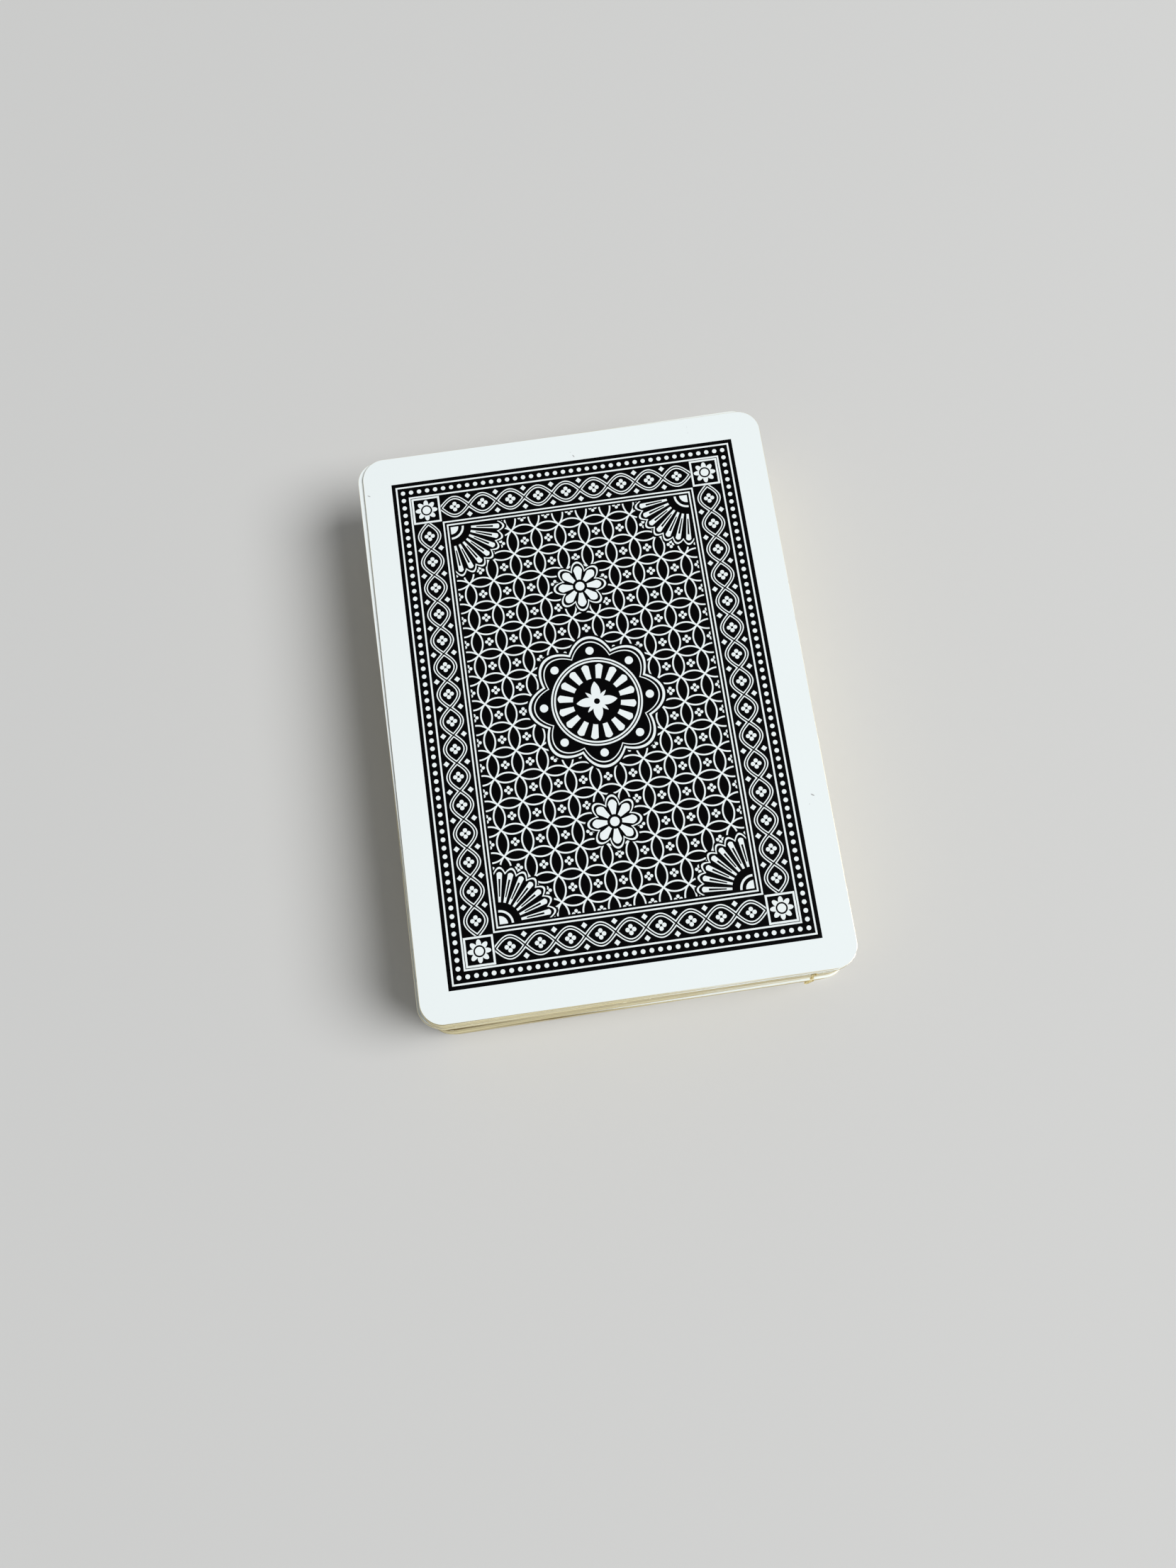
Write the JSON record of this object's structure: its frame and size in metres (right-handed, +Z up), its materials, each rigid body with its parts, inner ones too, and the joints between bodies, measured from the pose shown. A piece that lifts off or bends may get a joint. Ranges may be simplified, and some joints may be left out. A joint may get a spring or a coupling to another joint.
{
  "type": "playing card deck",
  "caption": "Squared pile of face-down playing cards with rounded corners; every card is separate and slides out of the pile sideways.",
  "frame": {"origin": "middle of the bottom card's underside, on the surface that the deck lies on", "axes": "+X to the right across the cards' width, +Y along the cards' length and away from the person who holds the deck, +Z up through the pile towards the printed backs"},
  "size_m": [0.0644, 0.0894, 0.0162],
  "materials": {
    "card_stock": "satin"
  },
  "bodies": {
    "black_joker": {"black_joker": "card_stock"},
    "red_joker": {"red_joker": "card_stock"},
    "king_of_clubs": {"king_of_clubs": "card_stock"},
    "queen_of_clubs": {"queen_of_clubs": "card_stock"},
    "jack_of_clubs": {"jack_of_clubs": "card_stock"},
    "ten_of_clubs": {"ten_of_clubs": "card_stock"},
    "nine_of_clubs": {"nine_of_clubs": "card_stock"},
    "eight_of_clubs": {"eight_of_clubs": "card_stock"},
    "seven_of_clubs": {"seven_of_clubs": "card_stock"},
    "six_of_clubs": {"six_of_clubs": "card_stock"},
    "five_of_clubs": {"five_of_clubs": "card_stock"},
    "four_of_clubs": {"four_of_clubs": "card_stock"},
    "three_of_clubs": {"three_of_clubs": "card_stock"},
    "two_of_clubs": {"two_of_clubs": "card_stock"},
    "ace_of_clubs": {"ace_of_clubs": "card_stock"},
    "king_of_diamonds": {"king_of_diamonds": "card_stock"},
    "queen_of_diamonds": {"queen_of_diamonds": "card_stock"},
    "jack_of_diamonds": {"jack_of_diamonds": "card_stock"},
    "ten_of_diamonds": {"ten_of_diamonds": "card_stock"},
    "nine_of_diamonds": {"nine_of_diamonds": "card_stock"},
    "eight_of_diamonds": {"eight_of_diamonds": "card_stock"},
    "seven_of_diamonds": {"seven_of_diamonds": "card_stock"},
    "six_of_diamonds": {"six_of_diamonds": "card_stock"},
    "five_of_diamonds": {"five_of_diamonds": "card_stock"},
    "four_of_diamonds": {"four_of_diamonds": "card_stock"},
    "three_of_diamonds": {"three_of_diamonds": "card_stock"},
    "two_of_diamonds": {"two_of_diamonds": "card_stock"},
    "ace_of_diamonds": {"ace_of_diamonds": "card_stock"},
    "king_of_hearts": {"king_of_hearts": "card_stock"},
    "queen_of_hearts": {"queen_of_hearts": "card_stock"},
    "jack_of_hearts": {"jack_of_hearts": "card_stock"},
    "ten_of_hearts": {"ten_of_hearts": "card_stock"},
    "nine_of_hearts": {"nine_of_hearts": "card_stock"},
    "eight_of_hearts": {"eight_of_hearts": "card_stock"},
    "seven_of_hearts": {"seven_of_hearts": "card_stock"},
    "six_of_hearts": {"six_of_hearts": "card_stock"},
    "five_of_hearts": {"five_of_hearts": "card_stock"},
    "four_of_hearts": {"four_of_hearts": "card_stock"},
    "three_of_hearts": {"three_of_hearts": "card_stock"},
    "two_of_hearts": {"two_of_hearts": "card_stock"},
    "ace_of_hearts": {"ace_of_hearts": "card_stock"},
    "king_of_spades": {"king_of_spades": "card_stock"},
    "queen_of_spades": {"queen_of_spades": "card_stock"},
    "jack_of_spades": {"jack_of_spades": "card_stock"},
    "ten_of_spades": {"ten_of_spades": "card_stock"},
    "nine_of_spades": {"nine_of_spades": "card_stock"},
    "eight_of_spades": {"eight_of_spades": "card_stock"},
    "seven_of_spades": {"seven_of_spades": "card_stock"},
    "six_of_spades": {"six_of_spades": "card_stock"},
    "five_of_spades": {"five_of_spades": "card_stock"},
    "four_of_spades": {"four_of_spades": "card_stock"},
    "three_of_spades": {"three_of_spades": "card_stock"},
    "two_of_spades": {"two_of_spades": "card_stock"},
    "ace_of_spades": {"ace_of_spades": "card_stock"}
  },
  "joints": [
    {"name": "ace_of_spades_slide", "type": "slide", "parent": "black_joker", "child": "ace_of_spades", "axis": [1, 0, 0], "range_m": [-0.067, 0.067]},
    {"name": "two_of_spades_slide", "type": "slide", "parent": "black_joker", "child": "two_of_spades", "axis": [1, 0, 0], "range_m": [-0.067, 0.067]},
    {"name": "three_of_spades_slide", "type": "slide", "parent": "black_joker", "child": "three_of_spades", "axis": [1, 0, 0], "range_m": [-0.067, 0.067]},
    {"name": "four_of_spades_slide", "type": "slide", "parent": "black_joker", "child": "four_of_spades", "axis": [1, 0, 0], "range_m": [-0.067, 0.067]},
    {"name": "five_of_spades_slide", "type": "slide", "parent": "black_joker", "child": "five_of_spades", "axis": [1, 0, 0], "range_m": [-0.067, 0.067]},
    {"name": "six_of_spades_slide", "type": "slide", "parent": "black_joker", "child": "six_of_spades", "axis": [1, 0, 0], "range_m": [-0.067, 0.067]},
    {"name": "seven_of_spades_slide", "type": "slide", "parent": "black_joker", "child": "seven_of_spades", "axis": [1, 0, 0], "range_m": [-0.067, 0.067]},
    {"name": "eight_of_spades_slide", "type": "slide", "parent": "black_joker", "child": "eight_of_spades", "axis": [1, 0, 0], "range_m": [-0.067, 0.067]},
    {"name": "nine_of_spades_slide", "type": "slide", "parent": "black_joker", "child": "nine_of_spades", "axis": [1, 0, 0], "range_m": [-0.067, 0.067]},
    {"name": "ten_of_spades_slide", "type": "slide", "parent": "black_joker", "child": "ten_of_spades", "axis": [1, 0, 0], "range_m": [-0.067, 0.067]},
    {"name": "jack_of_spades_slide", "type": "slide", "parent": "black_joker", "child": "jack_of_spades", "axis": [1, 0, 0], "range_m": [-0.067, 0.067]},
    {"name": "queen_of_spades_slide", "type": "slide", "parent": "black_joker", "child": "queen_of_spades", "axis": [1, 0, 0], "range_m": [-0.067, 0.067]},
    {"name": "king_of_spades_slide", "type": "slide", "parent": "black_joker", "child": "king_of_spades", "axis": [1, 0, 0], "range_m": [-0.067, 0.067]},
    {"name": "ace_of_hearts_slide", "type": "slide", "parent": "black_joker", "child": "ace_of_hearts", "axis": [1, 0, 0], "range_m": [-0.067, 0.067]},
    {"name": "two_of_hearts_slide", "type": "slide", "parent": "black_joker", "child": "two_of_hearts", "axis": [1, 0, 0], "range_m": [-0.067, 0.067]},
    {"name": "three_of_hearts_slide", "type": "slide", "parent": "black_joker", "child": "three_of_hearts", "axis": [1, 0, 0], "range_m": [-0.067, 0.067]},
    {"name": "four_of_hearts_slide", "type": "slide", "parent": "black_joker", "child": "four_of_hearts", "axis": [1, 0, 0], "range_m": [-0.067, 0.067]},
    {"name": "five_of_hearts_slide", "type": "slide", "parent": "black_joker", "child": "five_of_hearts", "axis": [1, 0, 0], "range_m": [-0.067, 0.067]},
    {"name": "six_of_hearts_slide", "type": "slide", "parent": "black_joker", "child": "six_of_hearts", "axis": [1, 0, 0], "range_m": [-0.067, 0.067]},
    {"name": "seven_of_hearts_slide", "type": "slide", "parent": "black_joker", "child": "seven_of_hearts", "axis": [1, 0, 0], "range_m": [-0.067, 0.067]},
    {"name": "eight_of_hearts_slide", "type": "slide", "parent": "black_joker", "child": "eight_of_hearts", "axis": [1, 0, 0], "range_m": [-0.067, 0.067]},
    {"name": "nine_of_hearts_slide", "type": "slide", "parent": "black_joker", "child": "nine_of_hearts", "axis": [1, 0, 0], "range_m": [-0.067, 0.067]},
    {"name": "ten_of_hearts_slide", "type": "slide", "parent": "black_joker", "child": "ten_of_hearts", "axis": [1, 0, 0], "range_m": [-0.067, 0.067]},
    {"name": "jack_of_hearts_slide", "type": "slide", "parent": "black_joker", "child": "jack_of_hearts", "axis": [1, 0, 0], "range_m": [-0.067, 0.067]},
    {"name": "queen_of_hearts_slide", "type": "slide", "parent": "black_joker", "child": "queen_of_hearts", "axis": [1, 0, 0], "range_m": [-0.067, 0.067]},
    {"name": "king_of_hearts_slide", "type": "slide", "parent": "black_joker", "child": "king_of_hearts", "axis": [1, 0, 0], "range_m": [-0.067, 0.067]},
    {"name": "ace_of_diamonds_slide", "type": "slide", "parent": "black_joker", "child": "ace_of_diamonds", "axis": [1, 0, 0], "range_m": [-0.067, 0.067]},
    {"name": "two_of_diamonds_slide", "type": "slide", "parent": "black_joker", "child": "two_of_diamonds", "axis": [1, 0, 0], "range_m": [-0.067, 0.067]},
    {"name": "three_of_diamonds_slide", "type": "slide", "parent": "black_joker", "child": "three_of_diamonds", "axis": [1, 0, 0], "range_m": [-0.067, 0.067]},
    {"name": "four_of_diamonds_slide", "type": "slide", "parent": "black_joker", "child": "four_of_diamonds", "axis": [1, 0, 0], "range_m": [-0.067, 0.067]},
    {"name": "five_of_diamonds_slide", "type": "slide", "parent": "black_joker", "child": "five_of_diamonds", "axis": [1, 0, 0], "range_m": [-0.067, 0.067]},
    {"name": "six_of_diamonds_slide", "type": "slide", "parent": "black_joker", "child": "six_of_diamonds", "axis": [1, 0, 0], "range_m": [-0.067, 0.067]},
    {"name": "seven_of_diamonds_slide", "type": "slide", "parent": "black_joker", "child": "seven_of_diamonds", "axis": [1, 0, 0], "range_m": [-0.067, 0.067]},
    {"name": "eight_of_diamonds_slide", "type": "slide", "parent": "black_joker", "child": "eight_of_diamonds", "axis": [1, 0, 0], "range_m": [-0.067, 0.067]},
    {"name": "nine_of_diamonds_slide", "type": "slide", "parent": "black_joker", "child": "nine_of_diamonds", "axis": [1, 0, 0], "range_m": [-0.067, 0.067]},
    {"name": "ten_of_diamonds_slide", "type": "slide", "parent": "black_joker", "child": "ten_of_diamonds", "axis": [1, 0, 0], "range_m": [-0.067, 0.067]},
    {"name": "jack_of_diamonds_slide", "type": "slide", "parent": "black_joker", "child": "jack_of_diamonds", "axis": [1, 0, 0], "range_m": [-0.067, 0.067]},
    {"name": "queen_of_diamonds_slide", "type": "slide", "parent": "black_joker", "child": "queen_of_diamonds", "axis": [1, 0, 0], "range_m": [-0.067, 0.067]},
    {"name": "king_of_diamonds_slide", "type": "slide", "parent": "black_joker", "child": "king_of_diamonds", "axis": [1, 0, 0], "range_m": [-0.067, 0.067]},
    {"name": "ace_of_clubs_slide", "type": "slide", "parent": "black_joker", "child": "ace_of_clubs", "axis": [1, 0, 0], "range_m": [-0.067, 0.067]},
    {"name": "two_of_clubs_slide", "type": "slide", "parent": "black_joker", "child": "two_of_clubs", "axis": [1, 0, 0], "range_m": [-0.067, 0.067]},
    {"name": "three_of_clubs_slide", "type": "slide", "parent": "black_joker", "child": "three_of_clubs", "axis": [1, 0, 0], "range_m": [-0.067, 0.067]},
    {"name": "four_of_clubs_slide", "type": "slide", "parent": "black_joker", "child": "four_of_clubs", "axis": [1, 0, 0], "range_m": [-0.067, 0.067]},
    {"name": "five_of_clubs_slide", "type": "slide", "parent": "black_joker", "child": "five_of_clubs", "axis": [1, 0, 0], "range_m": [-0.067, 0.067]},
    {"name": "six_of_clubs_slide", "type": "slide", "parent": "black_joker", "child": "six_of_clubs", "axis": [1, 0, 0], "range_m": [-0.067, 0.067]},
    {"name": "seven_of_clubs_slide", "type": "slide", "parent": "black_joker", "child": "seven_of_clubs", "axis": [1, 0, 0], "range_m": [-0.067, 0.067]},
    {"name": "eight_of_clubs_slide", "type": "slide", "parent": "black_joker", "child": "eight_of_clubs", "axis": [1, 0, 0], "range_m": [-0.067, 0.067]},
    {"name": "nine_of_clubs_slide", "type": "slide", "parent": "black_joker", "child": "nine_of_clubs", "axis": [1, 0, 0], "range_m": [-0.067, 0.067]},
    {"name": "ten_of_clubs_slide", "type": "slide", "parent": "black_joker", "child": "ten_of_clubs", "axis": [1, 0, 0], "range_m": [-0.067, 0.067]},
    {"name": "jack_of_clubs_slide", "type": "slide", "parent": "black_joker", "child": "jack_of_clubs", "axis": [1, 0, 0], "range_m": [-0.067, 0.067]},
    {"name": "queen_of_clubs_slide", "type": "slide", "parent": "black_joker", "child": "queen_of_clubs", "axis": [1, 0, 0], "range_m": [-0.067, 0.067]},
    {"name": "king_of_clubs_slide", "type": "slide", "parent": "black_joker", "child": "king_of_clubs", "axis": [1, 0, 0], "range_m": [-0.067, 0.067]},
    {"name": "red_joker_slide", "type": "slide", "parent": "black_joker", "child": "red_joker", "axis": [1, 0, 0], "range_m": [-0.067, 0.067]}
  ]
}
